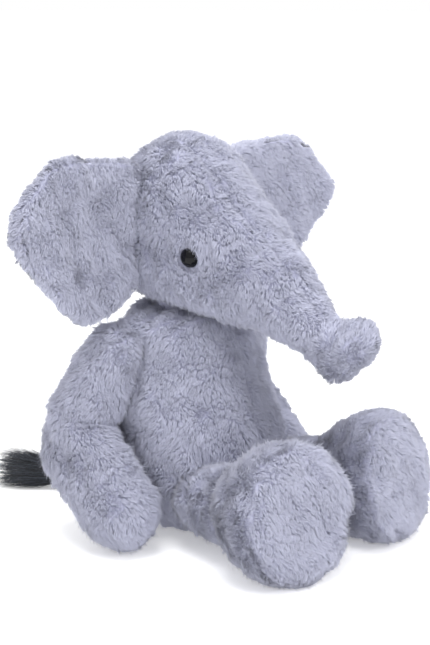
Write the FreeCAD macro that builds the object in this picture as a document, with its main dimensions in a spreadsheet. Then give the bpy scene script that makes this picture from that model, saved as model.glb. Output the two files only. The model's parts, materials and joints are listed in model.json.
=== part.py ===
import FreeCAD, Part
import math
import os
import Sketcher
from FreeCAD import Placement, Rotation, Vector

# A seated stuffed elephant, in millimetres. It faces -Y, its own right side is -X, +Z is up, and the
# origin is on the floor under the middle of its seat. Every stuffed part is a fabric cover round a core
# of stuffing; the outer faces stand for the middle of the fabric's pile.

DIMENSIONS = (
    ("cover_thickness", 5.0, "fabric, from its backing to the middle of its pile"),
    ("stuffing_gap", 0.5, "clearance between a cover and its stuffing"),
    ("socket_gap", 0.6, "clearance round every ball that turns in a socket"),
    ("limb_step", 0.2, "how much thinner each further limb of one part is, so that no balls coincide"),
    ("surface_start", 35.0, "degrees that each round surface's own start line is turned off the seams"),
    ("block_size", 700.0, "side of the blocks that split and trim the shapes"),
    ("seat_y", 4.0, "seat ball"),
    ("seat_z", 47.0, "seat ball"),
    ("seat_radius", 55.0, "seat ball"),
    ("chest_y", 12.0, "chest ball"),
    ("chest_z", 121.0, "chest ball"),
    ("chest_radius", 40.0, "chest ball"),
    ("torso_top", 142.0, "height of the torso's neck opening"),
    ("side_seam_y", 8.0, "plane of the torso's side seams"),
    ("pellet_bag_width", 62.0, "bag of pellets in the seat"),
    ("pellet_bag_height", 26.0, "bag of pellets in the seat"),
    ("pellet_bag_z", 24.0, "bag of pellets in the seat"),
    ("neck_y", 12.0, "neck ball"),
    ("neck_z", 146.0, "neck ball"),
    ("neck_radius", 24.0, "neck ball"),
    ("neck_recess_radius", 45.0, "round hollow under the head that clears the torso"),
    ("neck_recess_top", 149.0, "height of the head's neck opening"),
    ("crown_y", 15.0, "crown ball"),
    ("crown_z", 208.0, "crown ball"),
    ("crown_radius", 43.5, "crown ball"),
    ("jaw_y", 12.0, "jaw ball"),
    ("jaw_z", 178.0, "jaw ball"),
    ("jaw_radius", 43.0, "jaw ball"),
    ("muzzle_y", -53.0, "muzzle ball"),
    ("muzzle_z", 162.0, "muzzle ball"),
    ("muzzle_radius", 29.5, "muzzle ball"),
    ("gusset_width", 26.0, "strip of fabric over the crown and down the forehead"),
    ("gusset_bottom", 157.0, "height where that strip ends at the back of the neck"),
    ("trunk_root_y", -62.0, "ball at the trunk's root"),
    ("trunk_root_z", 158.0, "ball at the trunk's root"),
    ("trunk_root_radius", 26.0, "ball at the trunk's root"),
    ("trunk_rim_setback", 2.0, "how far the head's rim stays behind the trunk's pivot"),
    ("trunk_end_y", -95.0, "end of the straight trunk"),
    ("trunk_end_z", 137.0, "end of the straight trunk"),
    ("trunk_end_radius", 15.0, "end of the straight trunk"),
    ("curl_y", -108.0, "lowest point of the trunk's curl"),
    ("curl_z", 121.0, "lowest point of the trunk's curl"),
    ("curl_radius", 13.5, "lowest point of the trunk's curl"),
    ("tip_y", -124.0, "upturned tip of the trunk"),
    ("tip_z", 138.0, "upturned tip of the trunk"),
    ("tip_radius", 14.5, "upturned tip of the trunk"),
    ("eye_along", 45.0, "eye, along the line from the crown ball to the muzzle ball"),
    ("eye_turn", 98.0, "eye, degrees round that line from straight up"),
    ("eye_radius", 6.2, "glossy dome"),
    ("eye_height", 4.6, "glossy dome"),
    ("eye_sink", 2.0, "how deep the dome's base sits in the pile"),
    ("eye_flange", 0.8, "rim under the dome"),
    ("shank_radius", 2.0, "stem that passes through the cover"),
    ("shank_length", 7.5, "stem that passes through the cover"),
    ("shank_gap", 0.05, "clearance of the stem in the washer"),
    ("washer_radius", 6.5, "locking washer on the stem"),
    ("washer_depth", 3.9, "washer's outer face, below the dome's base"),
    ("washer_thickness", 1.5, "locking washer on the stem"),
    ("pocket_gap", 0.4, "clearance round the eye and its washer"),
    ("ear_hinge_x", 50.0, "middle of the ear's root"),
    ("ear_hinge_y", 24.0, "middle of the ear's root"),
    ("ear_hinge_z", 196.0, "middle of the ear's root"),
    ("ear_forward", 7.0, "degrees that the ear's tip points forward"),
    ("ear_panel", 4.4, "thickness of an ear's front or back fabric"),
    ("ear_padding", 3.0, "thickness of the padding between them"),
    ("ear_layer_gap", 0.1, "clearance between the ear's layers"),
    ("ear_padding_share", 0.92, "size of the padding against the fabric"),
    ("ear_root_top_u", -6.0, "ear's outline, outward from the root"),
    ("ear_root_top_w", 37.0, "ear's outline, upward"),
    ("ear_crest_u", 63.0, "ear's outline, outward from the root"),
    ("ear_crest_w", 46.0, "ear's outline, upward"),
    ("ear_tip_u", 103.0, "ear's outline, outward from the root"),
    ("ear_tip_w", 5.0, "ear's outline, upward"),
    ("ear_lobe_u", 33.0, "ear's outline, outward from the root"),
    ("ear_lobe_w", -60.0, "ear's outline, upward"),
    ("ear_root_low_u", 1.0, "ear's outline, outward from the root"),
    ("ear_root_low_w", -36.0, "ear's outline, upward"),
    ("ear_corner_radius", 16.0, "rounding of the crest, the tip and the lobe"),
    ("shoulder_x", 59.0, "shoulder ball"),
    ("shoulder_y", 22.0, "shoulder ball"),
    ("shoulder_z", 118.0, "shoulder ball"),
    ("shoulder_radius", 19.5, "shoulder ball"),
    ("shoulder_gap", 2.6, "room round the shoulder ball, for the sleeve to swing"),
    ("elbow_x", 77.0, "elbow ball"),
    ("elbow_y", 36.0, "elbow ball"),
    ("elbow_z", 73.0, "elbow ball"),
    ("sleeve_radius", 23.0, "upper arm at the elbow"),
    ("elbow_radius", 19.5, "elbow ball"),
    ("elbow_rim_height", 12.5, "how far the upper arm's rim stays above the elbow"),
    ("elbow_rim_turn", 15.0, "degrees that this rim is opened from the forearm's square"),
    ("hand_x", 80.0, "hand ball"),
    ("hand_y", -3.0, "hand ball"),
    ("hand_z", 25.5, "hand ball"),
    ("hand_radius", 25.0, "hand ball"),
    ("left_arm_forward", -4.0, "degrees that the whole left arm is swung forward at rest"),
    ("hip_x", 34.0, "hip ball"),
    ("hip_y", -33.0, "hip ball"),
    ("hip_z", 27.0, "hip ball"),
    ("hip_radius", 13.0, "hip ball"),
    ("hip_clearance", 1.0, "room round the leg in the torso's recess"),
    ("hip_lift", 24.0, "degrees that the leg lifts"),
    ("ankle_x", 41.0, "ankle seam's centre"),
    ("ankle_y", -71.0, "ankle seam's centre"),
    ("ankle_z", 33.0, "ankle seam's centre"),
    ("ankle_radius", 24.0, "ankle seam"),
    ("sole_x", 50.0, "middle of the sole"),
    ("sole_y", -124.0, "middle of the sole"),
    ("sole_z", 42.6, "middle of the sole"),
    ("foot_radius", 41.0, "widest part of the foot"),
    ("foot_rim", 8.0, "rounding of the foot's front rim"),
    ("tail_root_y", 58.5, "tail ball"),
    ("tail_root_z", 18.0, "tail ball"),
    ("tail_root_radius", 7.0, "tail ball"),
    ("tail_bend_x", -8.0, "bend of the tail"),
    ("tail_bend_y", 92.0, "bend of the tail"),
    ("tail_bend_z", 11.0, "bend of the tail"),
    ("tail_bend_radius", 6.5, "tail at its bend"),
    ("tail_end_radius", 6.0, "tail at its end"),
    ("tail_wall", 3.0, "fabric of the tail"),
    ("tail_end_x", -24.0, "end of the tail's stem"),
    ("tail_end_y", 124.0, "end of the tail's stem"),
    ("tail_end_z", 11.0, "end of the tail's stem"),
    ("tuft_root_radius", 9.0, "hair tuft where it leaves the stem"),
    ("tuft_end_x", -47.0, "loose end of the hair tuft"),
    ("tuft_end_y", 151.0, "loose end of the hair tuft"),
    ("tuft_end_z", 12.0, "loose end of the hair tuft"),
    ("tuft_end_radius", 11.0, "loose end of the hair tuft"),
)

UP = Vector(0, 0, 1)
SIDES = (("right", -1), ("left", 1))
COVER_INSET = "dims.cover_thickness"
STUFFING_INSET = "(dims.cover_thickness + dims.stuffing_gap)"
LAYERS = (("outer", "0"), ("cavity", COVER_INSET), ("stuffing", STUFFING_INSET))

document = FreeCAD.newDocument("stuffed_elephant")
sheet = document.addObject("Spreadsheet::Sheet", "dims")
for row, (alias, amount, note) in enumerate(DIMENSIONS, start=1):
    sheet.set(f"A{row}", note)
    sheet.set(f"B{row}", str(amount))
    sheet.setAlias(f"B{row}", alias)
document.recompute()

pieces = []


def size(expression):
    """The number that an expression of the sheet's dimensions gives."""
    return float(sheet.evalExpression(expression))


def point(name, side=1):
    """A named point of the sheet; a point with no x lies on the middle plane."""
    x = size(f"dims.{name}_x") if sheet.getCellFromAlias(f"{name}_x") else 0.0
    return Vector(side * x, size(f"dims.{name}_y"), size(f"dims.{name}_z"))


def facing(origin, direction):
    """A placement at origin whose own Z axis points in the given direction."""
    return Placement(origin, Rotation(UP, direction))


def spun(placement):
    """The same placement turned about its own Z axis, so that no surface starts on a sewn seam."""
    return placement.multiply(Placement(Vector(0, 0, 0), Rotation(UP, size("dims.surface_start"))))


def plane_of(body, role):
    return next(f for f in body.Origin.OriginFeatures if f.Role == role)


def new_sketch(name, role="XZ_Plane"):
    """A body and a sketch on one of its own origin planes."""
    body = document.addObject("PartDesign::Body", name)
    sketch = body.newObject("Sketcher::SketchObject", f"{name}_sketch")
    sketch.AttachmentSupport = [(plane_of(body, role), "")]
    sketch.MapMode = "FlatFace"
    return body, sketch


def constrain(sketch, kind, *values):
    sketch.addConstraint(Sketcher.Constraint(kind, *values))


def bind(sketch, name, expression, kind, *references):
    """A named sketch dimension that follows an expression of the sheet."""
    index = sketch.addConstraint(Sketcher.Constraint(kind, *references, size(expression)))
    sketch.renameConstraint(index, name)
    sketch.setExpression(f"Constraints.{name}", expression)


def line(sketch, start, end):
    return sketch.addGeometry(Part.LineSegment(start, end))


def arc(sketch, centre, radius, first_angle, last_angle):
    circle = Part.Circle(centre, UP, radius)
    return sketch.addGeometry(Part.ArcOfCircle(circle, first_angle, last_angle))


def revolve(body, sketch):
    """Turns the profile once round the sketch's upright axis."""
    turned = body.newObject("PartDesign::Revolution", f"{body.Name}_revolution")
    turned.Profile = sketch
    turned.ReferenceAxis = (sketch, ["V_Axis"])
    turned.Angle = 360
    return body


def tapered_limb(name, start, end, start_radius, end_radius):
    """Two balls, joined by the cone that touches both; the radii are expressions."""
    body, sketch = new_sketch(name)
    length = (end - start).Length
    first = size(start_radius)
    last = size(end_radius)
    slope = math.asin((first - last) / length)
    touch = Vector(math.cos(slope), math.sin(slope), 0)
    top = Vector(0, length, 0)
    ball = arc(sketch, Vector(0, 0, 0), first, -math.pi / 2, slope)
    side = line(sketch, touch * first, top + touch * last)
    cap = arc(sketch, top, last, slope, math.pi / 2)
    axis = line(sketch, Vector(0, length + last, 0), Vector(0, -first, 0))
    constrain(sketch, "Coincident", ball, 3, -1, 1)
    constrain(sketch, "PointOnObject", cap, 3, -2)
    constrain(sketch, "PointOnObject", ball, 1, -2)
    constrain(sketch, "PointOnObject", cap, 2, -2)
    constrain(sketch, "Tangent", ball, 2, side, 1)
    constrain(sketch, "Tangent", side, 2, cap, 1)
    constrain(sketch, "Coincident", cap, 2, axis, 1)
    constrain(sketch, "Coincident", axis, 2, ball, 1)
    bind(sketch, "start_radius", start_radius, "Radius", ball)
    bind(sketch, "end_radius", end_radius, "Radius", cap)
    constrain(sketch, "DistanceY", -1, 1, cap, 3, length)
    body.Placement = spun(facing(start, end - start))
    return revolve(body, sketch)


def ball(name, centre, radius):
    """A sphere, turned so that its seam and poles lie off the planes that the seams follow."""
    sphere = document.addObject("Part::Sphere", name)
    sphere.setExpression("Radius", radius)
    sphere.Placement = spun(facing(centre, Vector(1, 2, 3)))
    return sphere


def cylinder(name, placement, radius, height):
    rod = document.addObject("Part::Cylinder", name)
    rod.setExpression("Radius", radius)
    rod.setExpression("Height", height)
    rod.Placement = placement
    return rod


def block(name, origin, direction, width="dims.block_size"):
    """A large block that starts at a plane through origin and lies on the side that direction shows."""
    box = document.addObject("Part::Box", name)
    box.setExpression("Length", width)
    box.setExpression("Width", "dims.block_size")
    box.setExpression("Height", "dims.block_size")
    corner = Vector(-size(width) / 2, -size("dims.block_size") / 2, 0)
    box.Placement = facing(origin, direction).multiply(Placement(corner, Rotation()))
    return box


def fuse(name, shapes):
    joined = document.addObject("Part::MultiFuse", name)
    joined.Shapes = shapes
    return joined


def cut(name, base, *tools):
    """The base with every tool taken away, one after another."""
    rest = base
    for tool in tools:
        step = document.addObject("Part::Cut", name)
        step.Base = rest
        step.Tool = tool
        rest = step
    return rest


def common(name, base, tool):
    both = document.addObject("Part::Common", name)
    both.Base = base
    both.Tool = tool
    return both


def keep(node, shape):
    """Names a finished sub-part; the name is its node's and its file's."""
    shape.Label = node
    pieces.append(shape)
    return shape


def split(shape, inside_node, outside_node, tool):
    """Cuts one cover into two pieces of fabric along a seam."""
    keep(inside_node, common(f"{inside_node}_piece", shape, tool))
    keep(outside_node, cut(f"{outside_node}_piece", shape, tool))


def stuffed_layers(name, limbs):
    """Outer skin, cavity and stuffing of a soft part that is made of one or more tapered limbs."""
    layers = {}
    for layer, inset in LAYERS:
        solids = [
            tapered_limb(f"{name}_{layer}_{index}", start, end,
                         f"dims.{start_radius} - {inset} - {index} * dims.limb_step",
                         f"dims.{end_radius} - {inset} - {index} * dims.limb_step")
            for index, (start, end, start_radius, end_radius) in enumerate(limbs)
        ]
        layers[layer] = solids[0] if len(solids) == 1 else fuse(f"{name}_{layer}_limbs", solids)
    return layers


def trim(layers, name, tools):
    """Takes the same tools away from all layers of a soft part."""
    return {layer: cut(f"{name}_{layer}_trimmed", shape, *tools) for layer, shape in layers.items()}


def turned(vector, axis, degrees):
    return Rotation(axis, degrees).multVec(vector)


def arm_point(name, side):
    """A point of the arm; the whole left arm is swung by its own angle."""
    shoulder = point("shoulder", side)
    forward = size("dims.left_arm_forward") if side > 0 else 0.0
    return shoulder + turned(point(name, side) - shoulder, Vector(-1, 0, 0), forward)


def leg_direction(side):
    return (point("sole", side) - point("ankle", side)).normalize()


def neck_ball(name, radius="dims.neck_radius"):
    return ball(name, point("neck"), radius)


def leg_recess(side, label):
    """The room that the leg's thin end takes in the torso, from rest to fully lifted."""
    hip = point("hip", side)
    ankle = point("ankle", side)
    steps = 3
    room = []
    for step in range(steps):
        lift = size("dims.hip_lift") * step / (steps - 1)
        end = hip + turned(ankle - hip, Vector(-1, 0, 0), lift)
        margin = f"dims.hip_clearance - {step} * dims.limb_step"
        room.append(tapered_limb(f"hip_recess_{label}_{step}", hip, end,
                                 f"dims.hip_radius + {margin}", f"dims.ankle_radius + {margin}"))
    return room


def build_torso():
    layers = stuffed_layers("torso", [(point("seat"), point("chest"), "seat_radius", "chest_radius")])
    tools = [
        neck_ball("torso_neck_socket", "dims.neck_radius + dims.socket_gap"),
        block("above_torso", Vector(0, 0, size("dims.torso_top")), UP),
        ball("tail_socket", point("tail_root"), "dims.tail_root_radius + dims.socket_gap"),
    ]
    for label, side in SIDES:
        tools.append(ball(f"shoulder_socket_{label}", point("shoulder", side),
                          "dims.shoulder_radius + dims.shoulder_gap"))
        tools.extend(leg_recess(side, label))
    layers = trim(layers, "torso", tools)
    flat = {}
    for layer, inset in LAYERS:
        below = block(f"below_torso_{layer}", Vector(0, 0, size(inset)), -UP)
        flat[layer] = cut(f"torso_{layer}_flat", layers[layer], below)

    cover = cut("torso_cover", flat["outer"], flat["cavity"])
    front_half = block("belly_side", Vector(0, size("dims.side_seam_y"), 0), Vector(0, -1, 0))
    belly = common("belly_panels", cover, front_half)
    back = cut("back_panels", cover, front_half)
    right_half = block("right_half", Vector(0, 0, 0), Vector(-1, 0, 0))
    split(belly, "belly_panel_right", "belly_panel_left", right_half)
    split(back, "back_panel_right", "back_panel_left", right_half)

    bag_room = pellet_bag("pellet_bag_room", "dims.stuffing_gap")
    keep("torso_stuffing", cut("torso_stuffing_solid", flat["stuffing"], bag_room))
    keep("seat_pellet_bag", pellet_bag("seat_pellet_bag_solid", "0"))
    keep("neck_stuffing", neck_ball("neck_stuffing_ball"))


def pellet_bag(name, margin):
    bag = document.addObject("Part::Ellipsoid", name)
    bag.setExpression("Radius1", f"dims.pellet_bag_height / 2 + {margin}")
    bag.setExpression("Radius2", f"dims.pellet_bag_width / 2 + {margin}")
    bag.setExpression("Radius3", f"dims.pellet_bag_width / 2 + {margin}")
    bag.Placement = Placement(Vector(0, size("dims.seat_y"), size("dims.pellet_bag_z")), Rotation())
    return bag


def eye_placement(side):
    """The eye's base on the head's cone, sunk in the pile, with its own Z axis square to the skin."""
    crown = point("crown")
    along = (point("muzzle") - crown).normalize()
    length = (point("muzzle") - crown).Length
    slope = math.asin(size("dims.crown_radius - dims.muzzle_radius") / length)
    upward = turned(along, Vector(-1, 0, 0), 90)
    outward = turned(upward, along, side * size("dims.eye_turn"))
    distance = size("dims.eye_along")
    radius = (size("dims.crown_radius") - distance * math.sin(slope)) / math.cos(slope)
    normal = outward * math.cos(slope) + along * math.sin(slope)
    base = crown + along * distance + outward * radius - normal * size("dims.eye_sink")
    return facing(base, normal)


def eye_solid(name, placement):
    """A dome with a flange and a stem, turned in one piece."""
    body, sketch = new_sketch(name)
    radius = size("dims.eye_radius")
    height = size("dims.eye_height")
    flange = size("dims.eye_flange")
    stem = size("dims.shank_radius")
    length = size("dims.shank_length")
    dome_radius = (radius ** 2 + height ** 2) / (2 * height)
    centre = Vector(0, height - dome_radius, 0)
    low_angle = math.asin((dome_radius - height) / dome_radius)
    dome = arc(sketch, centre, dome_radius, low_angle, math.pi / 2)
    edge = line(sketch, Vector(radius, 0, 0), Vector(radius, -flange, 0))
    under = line(sketch, Vector(radius, -flange, 0), Vector(stem, -flange, 0))
    shank = line(sketch, Vector(stem, -flange, 0), Vector(stem, -length, 0))
    end = line(sketch, Vector(stem, -length, 0), Vector(0, -length, 0))
    axis = line(sketch, Vector(0, -length, 0), Vector(0, height, 0))
    for first, second in ((edge, under), (under, shank), (shank, end), (end, axis)):
        constrain(sketch, "Coincident", first, 2, second, 1)
    constrain(sketch, "Coincident", dome, 1, edge, 1)
    constrain(sketch, "Coincident", axis, 2, dome, 2)
    constrain(sketch, "PointOnObject", dome, 3, -2)
    constrain(sketch, "PointOnObject", axis, 1, -2)
    constrain(sketch, "PointOnObject", axis, 2, -2)
    constrain(sketch, "PointOnObject", edge, 1, -1)
    for upright in (edge, shank):
        constrain(sketch, "Vertical", upright)
    for level in (under, end):
        constrain(sketch, "Horizontal", level)
    bind(sketch, "dome_radius", "dims.eye_radius", "DistanceX", -1, 1, edge, 1)
    bind(sketch, "dome_height", "dims.eye_height", "DistanceY", -1, 1, axis, 2)
    bind(sketch, "flange", "dims.eye_flange", "DistanceY", edge, 2, edge, 1)
    bind(sketch, "stem_radius", "dims.shank_radius", "DistanceX", end, 2, end, 1)
    bind(sketch, "stem_length", "dims.shank_length", "DistanceY", axis, 1, -1, 1)
    body.Placement = placement
    return revolve(body, sketch)


def raised(placement, height):
    """The same placement, moved along its own Z axis."""
    return placement.multiply(Placement(Vector(0, 0, height), Rotation()))


def build_eye(label, side):
    """An eye and its washer; returns the tools that make room for them."""
    base = eye_placement(side)
    keep(f"eye_{label}", eye_solid(f"eye_{label}_body", base))
    washer_base = raised(base, -size("dims.washer_depth + dims.washer_thickness"))
    disc = cylinder(f"washer_disc_{label}", washer_base, "dims.washer_radius", "dims.washer_thickness")
    bore = cylinder(f"washer_bore_{label}", washer_base,
                    "dims.shank_radius + dims.shank_gap", "dims.washer_thickness")
    keep(f"eye_washer_{label}", cut(f"eye_washer_{label}_ring", disc, bore))
    flange_base = raised(base, -size("dims.eye_flange + dims.pocket_gap / 2"))
    pocket = cylinder(f"eye_pocket_{label}", flange_base,
                      "dims.eye_radius + dims.pocket_gap", "2 * dims.eye_radius")
    low = raised(base, -size("dims.shank_length + dims.pocket_gap"))
    stem_hole = cylinder(f"stem_hole_{label}", low,
                         "dims.shank_radius + dims.pocket_gap / 2", "2 * dims.shank_length")
    washer_room = cylinder(f"washer_room_{label}", low,
                           "dims.washer_radius + dims.pocket_gap", "dims.shank_length")
    return [pocket, stem_hole], [washer_room]


def build_head():
    crown = point("crown")
    jaw = point("jaw")
    muzzle = point("muzzle")
    layers = stuffed_layers("head", [
        (crown, jaw, "crown_radius", "jaw_radius"),
        (crown, muzzle, "crown_radius", "muzzle_radius"),
        (jaw, muzzle, "jaw_radius", "muzzle_radius"),
    ])
    trunk_axis = (point("trunk_end") - point("trunk_root")).normalize()
    rim = point("trunk_root") - trunk_axis * size("dims.trunk_rim_setback")
    low_neck = Vector(0, size("dims.neck_y"), size("dims.neck_recess_top") - size("dims.neck_z") / 2)
    tools = [
        neck_ball("head_neck_socket", "dims.neck_radius + dims.socket_gap"),
        cylinder("neck_recess", Placement(low_neck, Rotation()),
                 "dims.neck_recess_radius", "dims.neck_z / 2"),
        ball("trunk_socket", point("trunk_root"), "dims.trunk_root_radius + dims.socket_gap"),
        block("ahead_of_rim", rim, trunk_axis),
    ]
    layers = trim(layers, "head", tools)

    cover_holes = []
    stuffing_holes = []
    for label, side in SIDES:
        through, inside = build_eye(label, side)
        cover_holes.extend(through)
        stuffing_holes.extend(inside)
    cover = cut("head_cover", cut("head_shell", layers["outer"], layers["cavity"]), *cover_holes)
    gusset = block("gusset_block", Vector(0, 0, size("dims.gusset_bottom")), UP, "dims.gusset_width")
    keep("head_crown_gusset", common("head_crown_gusset_piece", cover, gusset))
    sides = cut("head_sides", cover, gusset)
    right_half = block("head_right", Vector(0, 0, 0), Vector(-1, 0, 0))
    split(sides, "head_panel_right", "head_panel_left", right_half)
    keep("head_stuffing", cut("head_stuffing_solid", layers["stuffing"], *stuffing_holes))


def build_trunk():
    root = point("trunk_root")
    end = point("trunk_end")
    curl = point("curl")
    tip = point("tip")
    layers = stuffed_layers("trunk", [
        (root, end, "trunk_root_radius", "trunk_end_radius"),
        (end, curl, "trunk_end_radius", "curl_radius"),
        (curl, tip, "curl_radius", "tip_radius"),
    ])
    cover = cut("trunk_cover", layers["outer"], layers["cavity"])
    beyond_end = block("beyond_trunk_end", end, (end - root).normalize())
    keep("trunk_tip_cover", common("trunk_tip_cover_piece", cover, beyond_end))
    straight = cut("trunk_straight_cover", cover, beyond_end)
    split(straight, "trunk_panel_right", "trunk_panel_left",
          block("trunk_right", Vector(0, 0, 0), Vector(-1, 0, 0)))
    keep("trunk_stuffing", layers["stuffing"])


EAR_CORNERS = ("root_top", "crest", "tip", "lobe", "root_low")
ROUNDED_CORNERS = ("crest", "tip", "lobe")


def ear_outline(side, share):
    """The ear's outline, scaled by share about a point midway from its root to its tip."""
    return {
        corner: (f"{side} * (dims.ear_tip_u * (1 - {share}) / 2 + dims.ear_{corner}_u * {share})",
                 f"dims.ear_{corner}_w * {share}")
        for corner in EAR_CORNERS
    }


def ear_layer(name, side, share, thickness, back):
    """One layer of an ear: a flat panel of the given thickness whose front is at distance -back."""
    body, sketch = new_sketch(name)
    outline = ear_outline(side, share)
    corners = [Vector(size(across), size(up), 0) for across, up in outline.values()]
    edges = [line(sketch, corners[i - 1], corners[i]) for i in range(len(corners))]
    for index, edge in enumerate(edges):
        constrain(sketch, "Coincident", edge, 2, edges[(index + 1) % len(edges)], 1)
    for edge, (corner, (across, up)) in zip(edges, outline.items()):
        bind(sketch, f"{corner}_across", across, "DistanceX", -1, 1, edge, 2)
        bind(sketch, f"{corner}_up", up, "DistanceY", -1, 1, edge, 2)
    pad = body.newObject("PartDesign::Pad", f"{name}_pad")
    pad.Profile = sketch
    pad.setExpression("Length", thickness)
    document.recompute()
    rounded = [Vector(size(outline[c][0]), 0, size(outline[c][1])) for c in ROUNDED_CORNERS]
    names = []
    for index, edge in enumerate(pad.Shape.Edges, start=1):
        middle = edge.CenterOfMass
        flat_middle = Vector(middle.x, 0, middle.z)
        if any((flat_middle - corner).Length < 1e-3 for corner in rounded):
            names.append(f"Edge{index}")
    fillet = body.newObject("PartDesign::Fillet", f"{name}_fillet")
    fillet.Base = (pad, names)
    fillet.setExpression("Radius", f"dims.ear_corner_radius * {share}")
    swing = Rotation(UP, -side * size("dims.ear_forward"))
    hinge = point("ear_hinge", side)
    body.Placement = Placement(hinge + swing.multVec(Vector(0, size(back), 0)), swing)
    return body


def build_ear(label, side):
    whole = "(dims.ear_padding / 2 + dims.ear_layer_gap)"
    keep(f"ear_front_panel_{label}",
         ear_layer(f"ear_front_{label}", side, "1", "dims.ear_panel", f"-{whole}"))
    keep(f"ear_padding_{label}",
         ear_layer(f"ear_core_{label}", side, "dims.ear_padding_share", "dims.ear_padding",
                   "dims.ear_padding / 2"))
    keep(f"ear_back_panel_{label}",
         ear_layer(f"ear_rear_{label}", side, "1", "dims.ear_panel", f"{whole} + dims.ear_panel"))


def build_arm(label, side):
    shoulder = arm_point("shoulder", side)
    elbow = arm_point("elbow", side)
    hand = arm_point("hand", side)
    down_sleeve = (elbow - shoulder).normalize()
    down_forearm = (hand - elbow).normalize()
    hinge = down_sleeve.cross(down_forearm).normalize()
    rim_normal = -turned(down_forearm, hinge, -size("dims.elbow_rim_turn"))
    rim = elbow + rim_normal * size("dims.elbow_rim_height")

    sleeve = stuffed_layers(f"upper_arm_{label}", [(shoulder, elbow, "shoulder_radius", "sleeve_radius")])
    sleeve = trim(sleeve, f"upper_arm_{label}", [
        ball(f"elbow_socket_{label}", elbow, "dims.elbow_radius + dims.socket_gap"),
        block(f"below_elbow_rim_{label}", rim, -rim_normal),
    ])
    cover = cut(f"upper_arm_cover_{label}", sleeve["outer"], sleeve["cavity"])
    split(cover, f"upper_arm_front_panel_{label}", f"upper_arm_back_panel_{label}",
          block(f"upper_arm_seam_{label}", shoulder, hinge.cross(down_sleeve)))
    keep(f"upper_arm_stuffing_{label}", sleeve["stuffing"])

    forearm = stuffed_layers(f"forearm_{label}", [(elbow, hand, "elbow_radius", "hand_radius")])
    cover = cut(f"forearm_cover_{label}", forearm["outer"], forearm["cavity"])
    split(cover, f"forearm_front_panel_{label}", f"forearm_back_panel_{label}",
          block(f"forearm_seam_{label}", elbow, hinge.cross(down_forearm)))
    keep(f"forearm_stuffing_{label}", forearm["stuffing"])


def foot_solid(name, side, inset):
    """A foot turned round the leg's line: narrow at the ankle, full at the flat sole."""
    body, sketch = new_sketch(name)
    ankle = point("ankle", side)
    depth = (point("sole", side) - ankle).Length - size(inset)
    narrow = size(f"dims.ankle_radius - {inset}")
    wide = size(f"dims.foot_radius - {inset}")
    rim_radius = size("dims.foot_rim")
    rim_height = depth - rim_radius
    bulge = ((wide - narrow) ** 2 + rim_height ** 2) / (2 * (wide - narrow))
    bulge_centre = Vector(wide - bulge, rim_height, 0)
    low_angle = -math.asin(rim_height / bulge)
    axis = line(sketch, Vector(0, 0, 0), Vector(0, depth, 0))
    sole = line(sketch, Vector(0, depth, 0), Vector(wide - rim_radius, depth, 0))
    rim = arc(sketch, Vector(wide - rim_radius, rim_height, 0), rim_radius, 0, math.pi / 2)
    flank = arc(sketch, bulge_centre, bulge, low_angle, 0)
    opening = line(sketch, Vector(narrow, 0, 0), Vector(0, 0, 0))
    constrain(sketch, "Coincident", axis, 1, -1, 1)
    constrain(sketch, "Vertical", axis)
    constrain(sketch, "Coincident", axis, 2, sole, 1)
    constrain(sketch, "Tangent", sole, 2, rim, 2)
    constrain(sketch, "Horizontal", sole)
    constrain(sketch, "Tangent", rim, 1, flank, 2)
    constrain(sketch, "Coincident", flank, 1, opening, 1)
    constrain(sketch, "Coincident", opening, 2, axis, 1)
    constrain(sketch, "Horizontal", opening)
    constrain(sketch, "Horizontal", rim, 3, flank, 3)
    constrain(sketch, "DistanceY", axis, 1, axis, 2, depth)
    bind(sketch, "rim_radius", "dims.foot_rim", "Radius", rim)
    bind(sketch, "ankle_radius", f"dims.ankle_radius - {inset}", "DistanceX", -1, 1, flank, 1)
    bind(sketch, "foot_radius", f"dims.foot_radius - {inset}", "DistanceX", -1, 1, rim, 1)
    body.Placement = spun(facing(ankle, leg_direction(side)))
    return revolve(body, sketch)


def build_leg(label, side):
    hip = point("hip", side)
    ankle = point("ankle", side)
    along = leg_direction(side)
    thigh = stuffed_layers(f"leg_{label}", [(hip, ankle, "hip_radius", "ankle_radius")])
    foot = {layer: foot_solid(f"foot_{layer}_{label}", side, inset) for layer, inset in LAYERS}
    beyond_ankle = block(f"beyond_ankle_{label}", ankle, along)
    shin = {layer: cut(f"shin_{layer}_{label}", shape, beyond_ankle) for layer, shape in thigh.items()}
    leg_seam = block(f"leg_seam_{label}", ankle, along.cross(Vector(1, 0, 0)))

    cover = cut(f"leg_cover_{label}", shin["outer"], shin["cavity"])
    split(cover, f"leg_top_panel_{label}", f"leg_under_panel_{label}", leg_seam)

    cover = cut(f"foot_cover_{label}", foot["outer"], foot["cavity"])
    sole_edge = point("sole", side) - along * size("dims.cover_thickness")
    sole_disc = cylinder(f"sole_disc_{label}", facing(sole_edge, along),
                         "dims.foot_radius - dims.foot_rim", "2 * dims.cover_thickness")
    keep(f"sole_panel_{label}", common(f"sole_panel_{label}_piece", cover, sole_disc))
    upper = cut(f"foot_upper_{label}", cover, sole_disc)
    outer_half = block(f"foot_seam_{label}", ankle, along.cross(UP) * side)
    split(upper, f"foot_outer_panel_{label}", f"foot_inner_panel_{label}", outer_half)
    keep(f"leg_stuffing_{label}", fuse(f"leg_stuffing_{label}_solid", [shin["stuffing"], foot["stuffing"]]))


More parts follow.
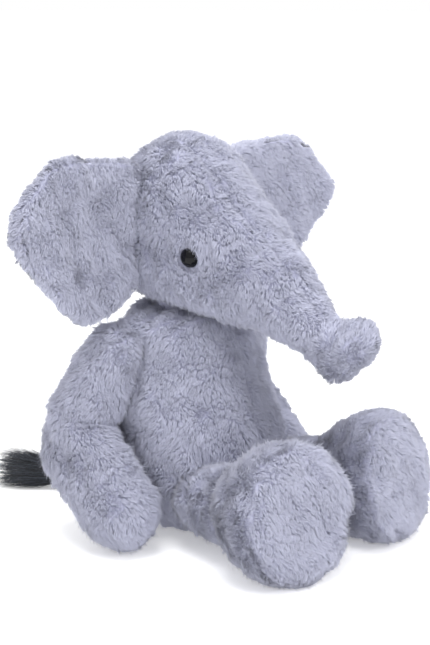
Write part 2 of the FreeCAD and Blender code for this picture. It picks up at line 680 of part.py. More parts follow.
def build_tail():
    root = point("tail_root")
    bend = point("tail_bend")
    end = point("tail_end")
    loose = point("tuft_end")
    layers = {}
    for layer, inset in (("outer", "0"), ("cavity", "dims.tail_wall"),
                         ("stuffing", "(dims.tail_wall + dims.stuffing_gap)")):
        layers[layer] = fuse(f"tail_{layer}", [
            tapered_limb(f"tail_{layer}_root", root, bend,
                         f"dims.tail_root_radius - {inset}", f"dims.tail_bend_radius - {inset}"),
            tapered_limb(f"tail_{layer}_end", bend, end,
                         f"dims.tail_bend_radius - {inset} - dims.limb_step",
                         f"dims.tail_end_radius - {inset}"),
        ])
    keep("tail_cover", cut("tail_cover_solid", layers["outer"], layers["cavity"]))
    keep("tail_stuffing", layers["stuffing"])
    tuft = tapered_limb("tail_tuft_body", end, loose, "dims.tuft_root_radius", "dims.tuft_end_radius")
    stem_room = tapered_limb("tuft_stem_room", bend, end, "dims.tail_bend_radius + dims.stuffing_gap",
                             "dims.tail_end_radius + dims.stuffing_gap")
    keep("tail_tuft", cut("tail_tuft_solid", tuft, stem_room))


for side_label, side_sign in SIDES:
    build_ear(side_label, side_sign)
build_torso()
build_head()
build_trunk()
for side_label, side_sign in SIDES:
    build_arm(side_label, side_sign)
    build_leg(side_label, side_sign)
build_tail()
document.recompute()

for item in document.Objects:
    if "Invalid" in item.State or "Error" in item.State:
        raise RuntimeError(f"{item.Label} failed: {item.State}")

os.makedirs("parts", exist_ok=True)
for shape_object in pieces:
    shape = shape_object.Shape
    if shape.isNull() or not shape.isValid() or not shape.Solids:
        raise RuntimeError(f"{shape_object.Label} has no valid solid")
    shape.exportStep(f"parts/{shape_object.Label}.step")
    print(f"{shape_object.Label}: {len(shape.Solids)} solid, {shape.Volume:.0f} mm3")
print(f"{len(pieces)} sub-parts")
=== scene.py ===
"""Looks of the seated stuffed elephant: sewn skins, real strands of pile, glossy eyes and a hair tuft."""

import json
import math

import bmesh
import bpy
import numpy as np
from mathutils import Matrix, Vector
from mathutils.kdtree import KDTree


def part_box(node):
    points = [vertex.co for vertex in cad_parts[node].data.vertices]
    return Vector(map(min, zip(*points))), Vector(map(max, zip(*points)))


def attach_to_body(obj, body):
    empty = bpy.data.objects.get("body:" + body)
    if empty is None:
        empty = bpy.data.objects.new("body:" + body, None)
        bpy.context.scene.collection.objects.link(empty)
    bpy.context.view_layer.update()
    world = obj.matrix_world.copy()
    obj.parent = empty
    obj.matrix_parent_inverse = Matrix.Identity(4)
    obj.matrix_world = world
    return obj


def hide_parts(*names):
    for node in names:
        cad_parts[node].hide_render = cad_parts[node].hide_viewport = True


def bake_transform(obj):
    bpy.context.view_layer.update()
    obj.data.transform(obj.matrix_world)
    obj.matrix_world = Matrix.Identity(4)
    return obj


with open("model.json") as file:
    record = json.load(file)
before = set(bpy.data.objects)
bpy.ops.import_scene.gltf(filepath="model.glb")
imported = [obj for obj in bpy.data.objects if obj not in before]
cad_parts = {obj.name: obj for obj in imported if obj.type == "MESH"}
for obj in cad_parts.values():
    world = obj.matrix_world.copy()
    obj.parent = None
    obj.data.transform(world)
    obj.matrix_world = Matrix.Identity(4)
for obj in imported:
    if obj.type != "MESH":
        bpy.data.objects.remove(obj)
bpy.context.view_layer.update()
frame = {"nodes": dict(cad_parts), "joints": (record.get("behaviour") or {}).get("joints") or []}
JOINTS = {joint["name"]: joint for joint in frame["joints"]}
SIDES = (("right", -1), ("left", 1))

MM = 0.001
THIRDS = (0, 2 * math.pi / 3, 4 * math.pi / 3)

# sewn and stuffed covers
CLOTH_VOXEL = 4.6 * MM         # mesh for the sewing, halved again afterwards
PRESSURE = 4.0
SEWN_FRAMES = 20
MOST_PUFF = 2.0 * MM
LUMPS = 1.2 * MM               # how unevenly the stuffing lies
SEAM_DEPTH = 1.6 * MM          # of the seams on torso and head
TORSO_SEAM_WIDTH = 3.0 * MM
SKIN_DEPTH = 3.4 * MM          # from the CAD cover's face, in the middle of the pile, to its backing
FLOOR_CLEARANCE = 0.2 * MM

# ears
OUTLINE_STEPS = 72
OUTLINE_BLUR = 2.6             # steps
EAR_FULLNESS = 1.035           # makes up for what the softening takes off

# pile: its colour, and how its strands lie
PILE = np.array((0.505, 0.518, 0.645))
SHADES = (0.93, 0.97, 1.0, 1.03)   # of the pile's colour, from strand to strand
MIDDLE_SHADE = 1.6             # the place in SHADES that the strands vary round
ROOT_PAINTED_SHADE = 0.96              # painted shade: the lower half of a strand is a little darker, as deep in the pile
PILE_LENGTH = 6.4 * MM
LENGTH_SPREAD = (0.72, 1.12)
STRAND_RADIUS = 0.20 * MM
RADIUS_SPREAD = (0.75, 1.3)
STRANDS_PER_MM2 = 3.4
# in one piece, which keeps each exported mesh whole
MOST_STRANDS = 32000           # in one piece; the pile is split into pieces of at most this many strands
RISE = 0.62                    # of a strand's length, straight out of the cloth
COMBED = 0.50                  # of its length, the way the pile is combed
RUFFLED = 0.26                 # of its length, the way the pile is ruffled
TIP_SCATTER = 0.07
BEND_AT = 0.42                 # of the way from root to tip
BEND_OUT = 0.16                # of its length, how far the bend stands out
ROOT_DEPTH = 0.7 * MM          # how deep a strand is set in the backing
CLUMP_SHARE = 0.04             # clump centres for each strand
CLUMP_PULL = (0.1, 0.5)        # how far the tips gather, from least to most
STRAY_SHARE = 0.08             # strands that stand out of the pile
STRAY_REACH = 1.35
STRAY_RISE = 1.3
STRAY_WIDTH = 0.6
OWN_ROUNDNESS = 0.95           # how much a strand is shaded as a round hair, not as part of the pile's face

# the tail's tuft
TUFT_STRANDS = 3000
TUFT_RINGS = 6
TUFT_RADIUS = 0.13 * MM
TUFT_ROOT = 8 * MM             # how far the hairs start inside the stem
TUFT_WIDTHS = (8.0 * MM, 12.0 * MM)
TUFT_FRAY = 3.4 * MM
TUFT_GREY_SHARE = 0.35

# stage
CAMERA_AZIMUTH = math.radians(-48.4)
CAMERA_ELEVATION = math.radians(12.3)
CAMERA_DISTANCE = 0.952
CAMERA_LENS = 83.0
CAMERA_AIM = Vector((0, 0, 0.1306))
CAMERA_SIDESTEP = 0.0076
FLOOR_SIZE = 60

rng = np.random.default_rng(12)


# ---------------------------------------------------------------- materials

def principled(name, colour, roughness, **sockets):
    """A Principled material; every extra socket gets a plain number or colour."""
    material = bpy.data.materials.new(name)
    material.use_nodes = True
    shader = material.node_tree.nodes["Principled BSDF"]
    shader.inputs["Base Color"].default_value = (*colour, 1)
    shader.inputs["Roughness"].default_value = roughness
    for socket, amount in sockets.items():
        shader.inputs[socket.replace("_", " ")].default_value = amount
    return material


def mottled(name, dark, light, scale, roughness, bump_distance):
    """A material whose colour, roughness and bump follow one fine noise, like the backing of pile fabric."""
    material = principled(name, light, roughness)
    tree = material.node_tree
    shader = tree.nodes["Principled BSDF"]
    place = tree.nodes.new("ShaderNodeTexCoord")
    noise = tree.nodes.new("ShaderNodeTexNoise")
    noise.inputs["Scale"].default_value = scale
    noise.inputs["Detail"].default_value = 6
    tree.links.new(place.outputs["Object"], noise.inputs["Vector"])
    ramp = tree.nodes.new("ShaderNodeValToRGB")
    ramp.color_ramp.elements[0].position = 0.3
    ramp.color_ramp.elements[0].color = (*dark, 1)
    ramp.color_ramp.elements[1].position = 0.7
    ramp.color_ramp.elements[1].color = (*light, 1)
    tree.links.new(noise.outputs["Fac"], ramp.inputs["Fac"])
    tree.links.new(ramp.outputs["Color"], shader.inputs["Base Color"])
    rough = tree.nodes.new("ShaderNodeMapRange")
    rough.inputs["To Min"].default_value = roughness - 0.12
    rough.inputs["To Max"].default_value = roughness + 0.05
    tree.links.new(noise.outputs["Fac"], rough.inputs["Value"])
    tree.links.new(rough.outputs["Result"], shader.inputs["Roughness"])
    bump = tree.nodes.new("ShaderNodeBump")
    bump.inputs["Distance"].default_value = bump_distance
    tree.links.new(noise.outputs["Fac"], bump.inputs["Height"])
    tree.links.new(bump.outputs["Normal"], shader.inputs["Normal"])
    return material


def pile_materials():
    """Root and tip material of each shade, in that order; the root one is darkened with painted shade of the
    pile's depths.
    """
    found = []
    for index, shade in enumerate(SHADES):
        # the root half of each shade is darkened: painted shade deep in the pile
        for part, factor in (("root", ROOT_PAINTED_SHADE), ("tip", 1.0)):
            colour = tuple(np.minimum(PILE * shade * factor, 1))
            found.append(principled(f"pile_{part}_{index}", colour, 0.85,
                                    Sheen_Weight=0.25, Specular_IOR_Level=0.25))
    return found


pile = pile_materials()
backing = mottled("pile_backing", (0.46, 0.47, 0.61), (0.53, 0.54, 0.70), 900, 0.9, 0.3 * MM)


# ---------------------------------------------------------------- mesh tools

def coordinates(mesh):
    flat = np.empty(len(mesh.vertices) * 3, np.float32)
    mesh.vertices.foreach_get("co", flat)
    return flat.reshape(-1, 3).astype(float)


def normals(mesh):
    flat = np.empty(len(mesh.vertices) * 3, np.float32)
    mesh.vertex_normals.foreach_get("vector", flat)
    return flat.reshape(-1, 3).astype(float)


def move_points(obj, at):
    obj.data.vertices.foreach_set("co", at.astype(np.float32).ravel())
    obj.data.update()


def node_points(*nodes):
    """The surface points of CAD nodes, thinned to about one in each cubic millimetre."""
    points = np.concatenate([coordinates(frame["nodes"][node].data) for node in nodes])
    _, first = np.unique(np.round(points / MM).astype(int), axis=0, return_index=True)
    return points[np.sort(first)]


def ball_points(centre, radius):
    """Points spread evenly over a ball."""
    count = 160
    steps = np.arange(count) + 0.5
    height = 1 - 2 * steps / count
    turn = steps * math.pi * (3 - math.sqrt(5))
    flat = np.sqrt(1 - height ** 2)
    ways = np.stack([np.cos(turn) * flat, np.sin(turn) * flat, height], 1)
    return np.array(centre) + ways * radius


def unit(vectors):
    return vectors / np.maximum(np.linalg.norm(vectors, axis=-1, keepdims=True), 1e-12)


def joint_at(name):
    return np.array(JOINTS[name]["pos_m"], float)


def add_hull(shape, points):
    """Adds the convex skin round some points to a bmesh."""
    corners = [shape.verts.new(point) for point in points]
    found = bmesh.ops.convex_hull(shape, input=corners)
    unused = {item for item in found["geom_interior"] + found["geom_unused"]
              if isinstance(item, bmesh.types.BMVert)}
    bmesh.ops.delete(shape, geom=list(unused), context="VERTS")


def finished_mesh(obj):
    """Applies an object's modifiers and leaves the result as its mesh."""
    graph = bpy.context.evaluated_depsgraph_get()
    mesh = bpy.data.meshes.new_from_object(obj.evaluated_get(graph))
    obj.modifiers.clear()
    obj.data = mesh
    return mesh


def skin(name, point_sets, smoothing, held=None, depth=SKIN_DEPTH, voxel=CLOTH_VOXEL):
    """One closed, evenly meshed skin round several convex forms, shrunk from pile face to backing."""
    shape = bmesh.new()
    for points in point_sets:
        add_hull(shape, points)
    mesh = bpy.data.meshes.new(name)
    shape.to_mesh(mesh)
    shape.free()
    obj = bpy.data.objects.new(name, mesh)
    bpy.context.scene.collection.objects.link(obj)
    remesh = obj.modifiers.new("even", "REMESH")
    remesh.mode = "VOXEL"
    remesh.voxel_size = voxel
    smooth = obj.modifiers.new("soft", "SMOOTH")
    smooth.factor = 0.5
    smooth.iterations = smoothing
    finished_mesh(obj)
    if held is not None:
        puff(obj, held)
    halves = obj.modifiers.new("halves", "SUBSURF")
    halves.levels = 1
    finished_mesh(obj)
    shift_skin(obj, lambda at, out: LUMPS * drift(at)[:, 1] - depth)
    for polygon in obj.data.polygons:
        polygon.use_smooth = True
    obj.data.materials.append(backing)
    return obj


def puff(obj, held):
    """Blows the stuffed cover up as cloth that its seams hold: held(points) is 1 on a seam."""
    before = coordinates(obj.data)
    group = obj.vertex_groups.new(name="held")
    for index, weight in enumerate(np.clip(held(before), 0, 1)):
        group.add([index], float(weight), "REPLACE")
    cloth = obj.modifiers.new("stuffing", "CLOTH")
    settings = cloth.settings
    settings.quality = 4
    settings.mass = 0.2
    settings.tension_stiffness = 8
    settings.compression_stiffness = 8
    settings.shear_stiffness = 3
    settings.bending_stiffness = 0.4
    settings.use_pressure = True
    settings.uniform_pressure_force = PRESSURE
    settings.effector_weights.gravity = 0
    settings.vertex_group_mass = group.name
    cloth.point_cache.frame_start = 1
    cloth.point_cache.frame_end = SEWN_FRAMES
    scene = bpy.context.scene
    for step in range(1, SEWN_FRAMES + 1):
        scene.frame_set(step)
    graph = bpy.context.evaluated_depsgraph_get()
    blown = bpy.data.meshes.new_from_object(obj.evaluated_get(graph))
    move = coordinates(blown) - before
    bpy.data.meshes.remove(blown)
    obj.modifiers.clear()
    obj.vertex_groups.clear()
    scene.frame_set(1)
    far = np.linalg.norm(move, axis=1, keepdims=True)
    print(f"{obj.name}: the cover puffs out by {far.max() / MM:.2f} mm, {far.mean() / MM:.2f} on average")
    move *= np.minimum(1, MOST_PUFF / np.maximum(far, 1e-9))
    move_points(obj, before + move)


def shift_skin(obj, rule):
    """Moves every point along its normal by what rule(points, normals) gives."""
    at = coordinates(obj.data)
    out = normals(obj.data)
    at += out * rule(at, out)[:, None]
    at[:, 2] = np.maximum(at[:, 2], FLOOR_CLEARANCE * 4)
    move_points(obj, at)


def bell(distance, width):
    """1 at no distance, fading smoothly to nothing past the width."""
    return np.exp(-(distance / width) ** 2)


# ---------------------------------------------------------------- pile

WAVES = 26
wave_ways = unit(rng.normal(size=(WAVES, 3)))
wave_lengths = rng.uniform(8, 40, WAVES) * MM
wave_starts = rng.uniform(0, 2 * math.pi, WAVES)
wave_pulls = unit(rng.normal(size=(WAVES, 3)))


def drift(points):
    """A smooth random vector at each point: how hands and storage have ruffled the pile."""
    phase = points @ (wave_ways / wave_lengths[:, None]).T * 2 * math.pi + wave_starts
    return np.sin(phase) @ wave_pulls / math.sqrt(WAVES / 2)


def scatter(mesh):
    """Random points on a mesh, with their normals."""
    mesh.calc_loop_triangles()
    corners = np.empty(len(mesh.loop_triangles) * 3, np.int32)
    mesh.loop_triangles.foreach_get("vertices", corners)
    corners = corners.reshape(-1, 3)
    at = coordinates(mesh)
    out = normals(mesh)
    a, b, c = (at[corners[:, i]] for i in range(3))
    area = np.linalg.norm(np.cross(b - a, c - a), axis=1) / 2
    count = int(area.sum() / MM ** 2 * STRANDS_PER_MM2)
    chosen = rng.choice(len(corners), count, p=area / area.sum())
    r1 = np.sqrt(rng.random(count))
    r2 = rng.random(count)
    weights = np.stack([1 - r1, r1 * (1 - r2), r1 * r2], 1)[:, :, None]
    picked = corners[chosen]
    points = (at[picked] * weights).sum(1)
    return points, unit((out[picked] * weights).sum(1))


def nearest(points, centres):
    """Which centre is nearest to each point."""
    tree = KDTree(len(centres))
    for index, centre in enumerate(centres):
        tree.insert(centre, index)
    tree.balance()
    return np.array([tree.find(point)[1] for point in points])


def along_skin(ways, out):
    """Each way without its part across the skin."""
    return ways - out * (ways * out).sum(1)[:, None]


def grow(obj, flow, length=PILE_LENGTH, shorten=None):
    """Pile on a skin: bent spikes whose tips gather in clumps. Gives corners, their normals and shades."""
    roots, out = scatter(obj.data)
    comb = unit(along_skin(flow(roots, out), out))
    ruffle = along_skin(drift(roots), out)
    reach = length * rng.uniform(*LENGTH_SPREAD, len(roots))
    if shorten is not None:
        reach = reach * shorten(roots)
    stray = rng.random(len(roots)) < STRAY_SHARE
    reach = np.where(stray, reach * STRAY_REACH, reach)
    rise = np.where(stray, RISE * STRAY_RISE, RISE)[:, None]
    tips = roots + reach[:, None] * (out * rise + comb * COMBED + ruffle * RUFFLED)
    tips += rng.normal(scale=TIP_SCATTER, size=tips.shape) * reach[:, None]
    centres = rng.choice(len(roots), max(8, int(len(roots) * CLUMP_SHARE)), replace=False)
    clump = centres[nearest(roots, roots[centres])]
    pull = rng.uniform(*CLUMP_PULL, len(roots))[:, None]
    tips += (tips[clump] - tips) * pull
    tips[:, 2] = np.maximum(tips[:, 2], FLOOR_CLEARANCE)
    middles = roots + (tips - roots) * BEND_AT + out * (reach * BEND_OUT)[:, None]
    middles[:, 2] = np.maximum(middles[:, 2], FLOOR_CLEARANCE * 3)
    bottoms = roots - out * ROOT_DEPTH
    way = unit(tips - bottoms)
    side = unit(np.cross(way, rng.normal(size=way.shape)))
    other = np.cross(way, side)
    thickness = STRAND_RADIUS * rng.uniform(*RADIUS_SPREAD, len(roots)) * np.where(stray, STRAY_WIDTH, 1)
    ring = []
    facing = []
    for turn in THIRDS:
        around = side * math.cos(turn) + other * math.sin(turn)
        ring.append(middles + around * thickness[:, None])
        facing.append(unit(out + around * OWN_ROUNDNESS))
    corners = np.stack([bottoms, *ring, tips], 1)
    return corners, np.stack([out, *facing, out], 1), shade_of(roots, clump)


def shade_of(roots, clump):
    """Each strand's shade: partly its clump's own, partly a slow drift over the cloth."""
    slow = drift(roots * 0.6)[:, 0]
    own = rng.normal(scale=0.55, size=len(roots))
    shared = rng.normal(scale=0.5, size=len(roots))[clump]
    level = (slow * 0.5 + own + shared) * 0.9 + MIDDLE_SHADE
    return np.clip(np.round(level), 0, len(SHADES) - 1).astype(int)


SPIKE_FACES = np.array([(0, 2, 1), (0, 3, 2), (0, 1, 3), (4, 1, 2), (4, 2, 3), (4, 3, 1)])
SPIKE_PARTS = np.array([0, 0, 0, 1, 1, 1])     # root or tip material, face by face; the root one carries painted shade


def triangles_object(name, corners, faces):
    """Many copies of one small form as smooth triangles: its corners for each copy, and its faces."""
    count, each = corners.shape[:2]
    triangles = (faces[None] + np.arange(count)[:, None, None] * each).reshape(-1, 3)
    mesh = bpy.data.meshes.new(name)
    mesh.vertices.add(count * each)
    mesh.vertices.foreach_set("co", corners.astype(np.float32).ravel())
    mesh.loops.add(triangles.size)
    mesh.loops.foreach_set("vertex_index", triangles.astype(np.int32).ravel())
    mesh.polygons.add(len(triangles))
    mesh.polygons.foreach_set("loop_start", np.arange(len(triangles), dtype=np.int32) * 3)
    mesh.polygons.foreach_set("use_smooth", np.ones(len(triangles), bool))
    mesh.update(calc_edges=True)
    obj = bpy.data.objects.new(name, mesh)
    bpy.context.scene.collection.objects.link(obj)
    return obj


def spikes_object(name, corners, facing, shade):
    """A mesh of five-cornered spikes: a sharp foot, a ring of three and a sharp tip."""
    spikes = triangles_object(name, corners, SPIKE_FACES)
    for material in pile:
        spikes.data.materials.append(material)
    slots = (shade[:, None] * 2 + SPIKE_PARTS[None]).ravel()
    spikes.data.polygons.foreach_set("material_index", slots.astype(np.int32))
    spikes.data.normals_split_custom_set_from_vertices(facing.reshape(-1, 3).tolist())
    return spikes


def furred(obj, attach, flow, slot="pile_fabric", **options):
    """Grows pile on a skin and attaches skin and pile alike."""
    corners, facing, shade = grow(obj, flow, **options)
    attach(obj)
    parts = math.ceil(len(corners) / MOST_STRANDS)
    for index in range(parts):
        chosen = slice(index, None, parts)
        name = f"{obj.name}_pile_{index + 1}"
        tuft = spikes_object(name, corners[chosen], facing[chosen], shade[chosen])
        attach(tuft)


def riding(body):
    return lambda obj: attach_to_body(obj, body)


def bending():
    return lambda obj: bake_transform(obj)


# ---------------------------------------------------------------- the parts

def make_torso():
    covers = ["belly_panel_right", "belly_panel_left", "back_panel_right", "back_panel_left"]
    side_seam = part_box("belly_panel_left")[1].y
    yoke = np.array((42, 19, 126)) * MM
    yoke_radius = 10 * MM

    def seams(at):
        middle = bell(at[:, 0], TORSO_SEAM_WIDTH)
        sides = bell(at[:, 1] - side_seam, TORSO_SEAM_WIDTH)
        return np.maximum(middle, sides)

    yokes = [ball_points(yoke * (side, 1, 1), yoke_radius) for _, side in SIDES]
    body = np.concatenate([node_points(*covers), *yokes])
    torso = skin("torso", [body], 5, held=seams, depth=1.4 * MM)
    shift_skin(torso, lambda at, out: -SEAM_DEPTH * seams(at))

    def flow(at, out):
        away = np.zeros_like(at)
        away[:, 0] = np.sign(at[:, 0]) * 0.25
        away[:, 2] = -1
        return away

    furred(torso, riding("torso"), flow, shorten=lambda at: 1 - 0.25 * seams(at))
    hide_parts(*covers, "torso_stuffing")


def gusset_half_width(at):
    """Half the width of the crown strip: even over the head, narrowing along the trunk."""
    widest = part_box("head_crown_gusset")[1].x
    narrows_from = joint_at("trunk_lift")[1] + 20 * MM
    narrows_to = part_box("trunk_tip_cover")[1].y
    share = np.clip((narrows_from - at[:, 1]) / (narrows_from - narrows_to), 0, 1)
    return widest * (1 - 0.5 * share)


def make_head():
    tip_points = node_points("trunk_tip_cover")
    lowest = tip_points[tip_points[:, 2].argmin()]
    curl_back = tip_points[tip_points[:, 1] > lowest[1]]
    curl_front = tip_points[tip_points[:, 1] <= lowest[1] + 1 * MM]
    head_covers = ["head_crown_gusset", "head_panel_right", "head_panel_left"]
    trunk_covers = ["trunk_panel_right", "trunk_panel_left", "trunk_tip_cover"]
    root = joint_at("trunk_lift")
    gusset_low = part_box("head_crown_gusset")[0]
    eye_low, eye_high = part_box("eye_right")
    eye = (np.array(eye_low) + np.array(eye_high)) / 2
    eyes = (eye, eye * np.array((-1, 1, 1)))

    def seam_line(at):
        beside = np.abs(np.abs(at[:, 0]) - gusset_half_width(at))
        top = at[:, 2] > gusset_low.z + (at[:, 1] - root[1]) * 0.35 * (at[:, 1] < root[1])
        return bell(beside, 2.0 * MM) * top

    def near_eyes(at, width):
        return sum(bell(np.linalg.norm(at - centre, axis=1), width) for centre in eyes)

    def held(at):
        return np.maximum(seam_line(at), near_eyes(at, 8 * MM))

    head = skin("head", [
        node_points(*head_covers),
        node_points("trunk_panel_right", "trunk_panel_left"),
        curl_back, curl_front,
    ], 3, held=held)

    def sculpt(at, out):
        return -SEAM_DEPTH * seam_line(at) - 2.5 * MM * near_eyes(at, 9 * MM)

    shift_skin(head, sculpt)

    def flow(at, out):
        way = np.zeros_like(at)
        way[:, 1] = -0.55
        way[:, 2] = -0.8
        on_tip = at[:, 1] < lowest[1] + 6 * MM
        way[on_tip] = (0, -0.3, 1)
        return way

    def shorten(at):
        beside_eye = sum(np.linalg.norm(at - centre, axis=1) < 8.5 * MM for centre in eyes)
        return (1 - 0.25 * seam_line(at)) * np.where(beside_eye > 0, 0.3, 1)

    furred(head, bending(), flow, shorten=shorten)
    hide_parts(*head_covers, *trunk_covers, "head_stuffing", "trunk_stuffing")


def make_neck():
    neck = skin("neck", [node_points("neck_stuffing")], 2, depth=0)
    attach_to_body(neck, "neck")
    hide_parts("neck_stuffing")


def round_outline(ear):
    """Softens an ear's corners: its outline, seen square on, is averaged along the way round."""
    at = coordinates(ear.data)
    middle = (at.min(0) + at.max(0)) / 2
    flat = (at - middle)[:, (0, 2)]
    angle = np.arctan2(flat[:, 1], flat[:, 0])
    place = ((angle / (2 * math.pi)) % 1 * OUTLINE_STEPS).astype(int) % OUTLINE_STEPS
    far = np.zeros(OUTLINE_STEPS)
    np.maximum.at(far, place, np.linalg.norm(flat, axis=1))
    steps = np.arange(-OUTLINE_STEPS // 2, OUTLINE_STEPS // 2)
    weight = np.exp(-(steps / OUTLINE_BLUR) ** 2)
    weight /= weight.sum()
    soft = sum(w * np.roll(far, k) for w, k in zip(weight, steps))
    ratio = soft / far
    spot = (angle / (2 * math.pi)) % 1 * OUTLINE_STEPS - 0.5
    round_ratio = np.concatenate([ratio[-1:], ratio, ratio[:1]])
    scale = np.interp(spot, np.arange(-1, OUTLINE_STEPS + 1), round_ratio)
    flat *= scale[:, None]
    at[:, (0, 2)] = middle[[0, 2]] + flat * EAR_FULLNESS
    move_points(ear, at)


def make_ear(label, side):
    front = f"ear_front_panel_{label}"
    rear = f"ear_back_panel_{label}"
    hinge = joint_at(f"ear_{label}_flap")
    low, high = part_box(front)
    span = max(abs(low.x), abs(high.x)) - abs(hinge[0])
    root_reach = 18 * MM
    ear = skin(f"ear_{label}", [node_points(front, rear)], 2, depth=2.2 * MM, voxel=3.6 * MM)
    round_outline(ear)

    def tuck_root():
        """Draws the ear's root into the head, to where the head's side is."""
        at = coordinates(ear.data)
        outward = side * at[:, 0] - abs(hinge[0])
        share = np.clip(1 - outward / (0.25 * span), 0, 1)
        height = (at[:, 2] - hinge[2]) / (40 * MM)
        at[:, 0] -= side * share * root_reach * (0.6 + 0.4 * height ** 2)
        move_points(ear, at)

    tuck_root()

    def cup(at, out):
        """A shallow hollow in the front, a padded rim round it."""
        outward = (side * at[:, 0] - abs(hinge[0])) / span
        middle = bell(outward - 0.45, 0.28) * bell((at[:, 2] - hinge[2] + 4 * MM) / (45 * MM), 0.7)
        return -1.6 * MM * middle * (out[:, 1] < 0)

    shift_skin(ear, cup)

    def flow(at, out):
        way = np.zeros_like(at)
        way[:, 0] = side * 0.55
        way[:, 2] = -0.8
        return way

    furred(ear, riding(f"ear_{label}"), flow, length=PILE_LENGTH * 0.92)
    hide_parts(front, rear, f"ear_padding_{label}")


def make_arm(label, side):
    upper = [f"upper_arm_{part}_panel_{label}" for part in ("front", "back")]
    lower = [f"forearm_{part}_panel_{label}" for part in ("front", "back")]
    elbow = joint_at(f"elbow_{label}_bend")
    shoulder = joint_at(f"shoulder_{label}_swing")
    low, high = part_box(f"forearm_stuffing_{label}")
    hand = np.array(((low.x + high.x) / 2, low.y, low.z))
    down = unit(elbow - shoulder)
    onward = unit(hand - elbow)
    crease_way = unit(onward - down)
    across = unit(down + onward)
    seam_way = unit(np.cross(np.cross(down, onward), across))
    collar = ball_points(shoulder + np.array((-side * 12, 2, 6)) * MM, 13 * MM)
    inner_elbow = ball_points(elbow + np.array((-side * 8, -4, 6)) * MM, 20 * MM)
    below_elbow = ball_points(elbow + np.array((side * 1, 5, -17)) * MM, 21 * MM)
    sleeve = np.concatenate([node_points(*upper), collar, inner_elbow])
    lower_arm = np.concatenate([node_points(*lower), below_elbow])

    def seams(at):
        return bell((at - elbow) @ seam_way, 2.6 * MM) * 0.9

    arm = skin(f"arm_{label}", [sleeve, lower_arm], 4, held=seams)

    def crease(at, out):
        off = at - elbow
        inner = np.clip(off @ crease_way / (12 * MM), 0, 1)
        return -2.6 * MM * bell(off @ across, 3.0 * MM) * inner

    shift_skin(arm, crease)

    def flow(at, out):
        past = np.clip((at - elbow) @ across / (20 * MM) + 0.5, 0, 1)[:, None]
        return down * (1 - past) + onward * past

    furred(arm, bending(), flow)
    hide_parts(*upper, *lower, f"upper_arm_stuffing_{label}", f"forearm_stuffing_{label}")


def make_leg(label, side):
    leg_nodes = [f"leg_top_panel_{label}", f"leg_under_panel_{label}"]
    foot_nodes = [f"foot_outer_panel_{label}", f"foot_inner_panel_{label}", f"sole_panel_{label}"]
    hip = joint_at(f"hip_{label}_lift")
    sole_points = node_points(f"sole_panel_{label}")
    sole = sole_points.mean(0)
    along = unit(sole - hip)
    ankle_step = (node_points(*foot_nodes) @ along).min()
    sole_step = (sole_points @ along).max()
    sole_radius = np.linalg.norm(np.cross(sole_points - sole, along), axis=1).max()

    def seams(at):
        ankle_seam = bell(at @ along - ankle_step, 2.6 * MM)
        from_axis = np.linalg.norm(np.cross(at - sole, along), axis=1)
        near_sole = at @ along > sole_step - 16 * MM
        sole_seam = bell(from_axis - sole_radius - 1.5 * MM, 2.2 * MM) * near_sole
        return ankle_seam, sole_seam

    def sculpt(at, out):
        ankle_seam, sole_seam = seams(at)
        return -2.2 * MM * ankle_seam - 1.5 * MM * sole_seam

    thigh_ball = ball_points(hip + np.array((side * 3, -4, 3)) * MM, 20.5 * MM)
    points = [np.concatenate([node_points(*leg_nodes), thigh_ball]), node_points(*foot_nodes)]
    leg = skin(f"leg_{label}", points, 3, held=lambda at: np.maximum(*seams(at)), depth=1.6 * MM)
    shift_skin(leg, sculpt)

    def flow(at, out):
        way = np.tile(along, (len(at), 1))
        on_sole = (out @ along) > 0.75
        way[on_sole] = (0, 0, -1)
        return way

    def shorten(at):
        ankle_seam, sole_seam = seams(at)
        return 1 - 0.3 * ankle_seam - 0.2 * sole_seam

    furred(leg, riding(f"leg_{label}"), flow, shorten=shorten)
    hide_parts(*leg_nodes, *foot_nodes, f"leg_stuffing_{label}")


def make_tail():
    cover = node_points("tail_cover")
    bend_step = cover[:, 1].mean()
    near = cover[cover[:, 1] <= bend_step + 1 * MM]
    far = cover[cover[:, 1] >= bend_step - 1 * MM]
    stem = skin("tail_stem", [near, far], 6, depth=2.6 * MM, voxel=2.4 * MM)

    def flow(at, out):
        return np.tile((-0.3, 1.0, 0.0), (len(at), 1))

    furred(stem, riding("tail"), flow, length=4.5 * MM)
    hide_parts("tail_cover", "tail_stuffing")
    make_tuft()


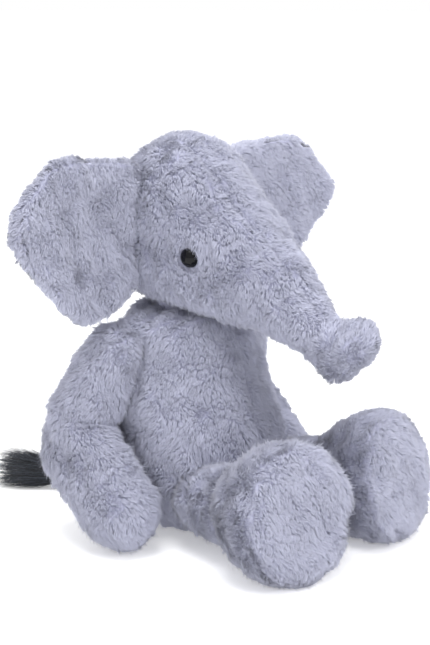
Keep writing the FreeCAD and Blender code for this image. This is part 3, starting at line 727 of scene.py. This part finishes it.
def make_tuft():
    """Long straight hair that leaves the stem in a bundle and frays at its loose end."""
    points = node_points("tail_tuft")
    low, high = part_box("tail_tuft")
    root = points[points[:, 1] < low.y + 6 * MM].mean(0)
    loose = points[points[:, 1] > high.y - 6 * MM].mean(0)
    along = unit(loose - root)
    across = unit(np.cross(along, (0, 0, 1)))
    upward = np.cross(across, along)
    length = np.linalg.norm(loose - root)
    turn = rng.uniform(0, 2 * math.pi, TUFT_STRANDS)
    spread = np.sqrt(rng.random(TUFT_STRANDS))
    ring_way = np.outer(np.cos(turn), across) + np.outer(np.sin(turn), upward)
    reach = length * (0.42 + 0.55 * rng.random(TUFT_STRANDS) ** 1.6)
    fray = rng.normal(scale=TUFT_FRAY, size=(TUFT_STRANDS, 3))
    rings = []
    for step in range(TUFT_RINGS):
        share = step / (TUFT_RINGS - 1)
        width = TUFT_WIDTHS[0] * (1 - share) + TUFT_WIDTHS[1] * share
        centre = root[None] - along * TUFT_ROOT + np.outer((reach + TUFT_ROOT) * share, along)
        at = centre + ring_way * (spread * width)[:, None] + fray * share ** 2
        at[:, 2] = np.maximum(at[:, 2], 0.5 * MM)
        rings.append(at)
    bundle = hairs_object("tail_tuft_hair", rings, TUFT_RADIUS)
    dark = principled("tuft_hair_dark", (0.010, 0.012, 0.018), 0.55, Sheen_Weight=0.2)
    grey = principled("tuft_hair_grey", (0.06, 0.072, 0.095), 0.6, Sheen_Weight=0.2)
    bundle.data.materials.append(dark)
    bundle.data.materials.append(grey)
    faces_each = len(bundle.data.polygons) // TUFT_STRANDS
    picks = np.repeat((rng.random(TUFT_STRANDS) < TUFT_GREY_SHARE).astype(np.int32), faces_each)
    bundle.data.polygons.foreach_set("material_index", picks)
    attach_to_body(bundle, "tail")
    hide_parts("tail_tuft")


def hairs_object(name, rings, radius):
    """Closed three-sided hairs through the given rings of points, tapering to a sharp tip."""
    levels = len(rings)
    corners = []
    for level in range(levels - 1):
        way = unit(rings[min(level + 1, levels - 1)] - rings[max(level - 1, 0)])
        side = unit(np.cross(way, (0.3, 0.2, 1.0)))
        other = np.cross(way, side)
        size = radius * (1 - 0.6 * level / levels)
        for turn in THIRDS:
            corners.append(rings[level] + (side * math.cos(turn) + other * math.sin(turn)) * size)
    corners.append(rings[-1])
    tip = len(corners) - 1
    faces = [(0, 2, 1)]
    for base in range(0, (levels - 2) * 3, 3):
        for i in range(3):
            j = (i + 1) % 3
            faces.append((base + i, base + j, base + 3 + j))
            faces.append((base + i, base + 3 + j, base + 3 + i))
    last = (levels - 2) * 3
    faces += [(last + i, last + (i + 1) % 3, tip) for i in range(3)]
    return triangles_object(name, np.stack(corners, 1), np.array(faces))


def repaint(node, material):
    data = frame["nodes"][node].data
    data.materials.clear()
    data.materials.append(material)


def finish_hard_parts():
    glass_black = principled("eye_black", (0.003, 0.003, 0.004), 0.06, Specular_IOR_Level=0.2)
    washer = mottled("washer_white", (0.72, 0.72, 0.7), (0.82, 0.82, 0.8), 400, 0.5, 0.05 * MM)
    bag = mottled("pellet_bag_cloth", (0.6, 0.59, 0.55), (0.74, 0.73, 0.69), 1200, 0.85, 0.2 * MM)
    for label, _ in SIDES:
        repaint(f"eye_{label}", glass_black)
        repaint(f"eye_washer_{label}", washer)
    repaint("seat_pellet_bag", bag)


# ---------------------------------------------------------------- stage

def make_camera():
    data = bpy.data.cameras.new("camera")
    data.lens = CAMERA_LENS
    camera = bpy.data.objects.new("camera", data)
    bpy.context.scene.collection.objects.link(camera)
    level = math.cos(CAMERA_ELEVATION)
    back = Vector((math.sin(CAMERA_AZIMUTH) * level, -math.cos(CAMERA_AZIMUTH) * level,
                   math.sin(CAMERA_ELEVATION)))
    right = Vector((math.cos(CAMERA_AZIMUTH), math.sin(CAMERA_AZIMUTH), 0))
    camera.location = CAMERA_AIM + right * CAMERA_SIDESTEP + back * CAMERA_DISTANCE
    camera.rotation_euler = back.to_track_quat("Z", "Y").to_euler()
    bpy.context.scene.camera = camera


def area_light(name, place, size, power, aim=(0, 0, 0.12)):
    data = bpy.data.lights.new(name, "AREA")
    data.shape = "DISK"
    data.size = size
    data.energy = power
    light = bpy.data.objects.new(name, data)
    light.location = place
    light.rotation_euler = (Vector(place) - Vector(aim)).to_track_quat("Z", "Y").to_euler()
    bpy.context.scene.collection.objects.link(light)


def make_stage():
    bpy.ops.mesh.primitive_plane_add(size=FLOOR_SIZE)
    floor = bpy.context.object
    floor.name = "floor"
    white = principled("floor_white", (0.97, 0.97, 0.97), 0.9, Specular_IOR_Level=0.0,
                       Emission_Strength=0.3, Emission_Color=(1, 1, 1, 1))
    floor.data.materials.append(white)
    world = bpy.data.worlds.new("studio")
    world.use_nodes = True
    world.node_tree.nodes["Background"].inputs["Color"].default_value = (1, 1, 1, 1)
    world.node_tree.nodes["Background"].inputs["Strength"].default_value = 1.0
    bpy.context.scene.world = world
    area_light("overhead", (-0.3, -0.15, 1.6), 0.9, 15)
    area_light("key", (-0.3, -1.5, 1.2), 0.4, 9)
    bpy.context.scene.view_settings.view_transform = "Standard"


make_camera()
make_stage()
make_torso()
make_head()
make_neck()
for label, side in SIDES:
    make_ear(label, side)
    make_arm(label, side)
    make_leg(label, side)
make_tail()
finish_hard_parts()
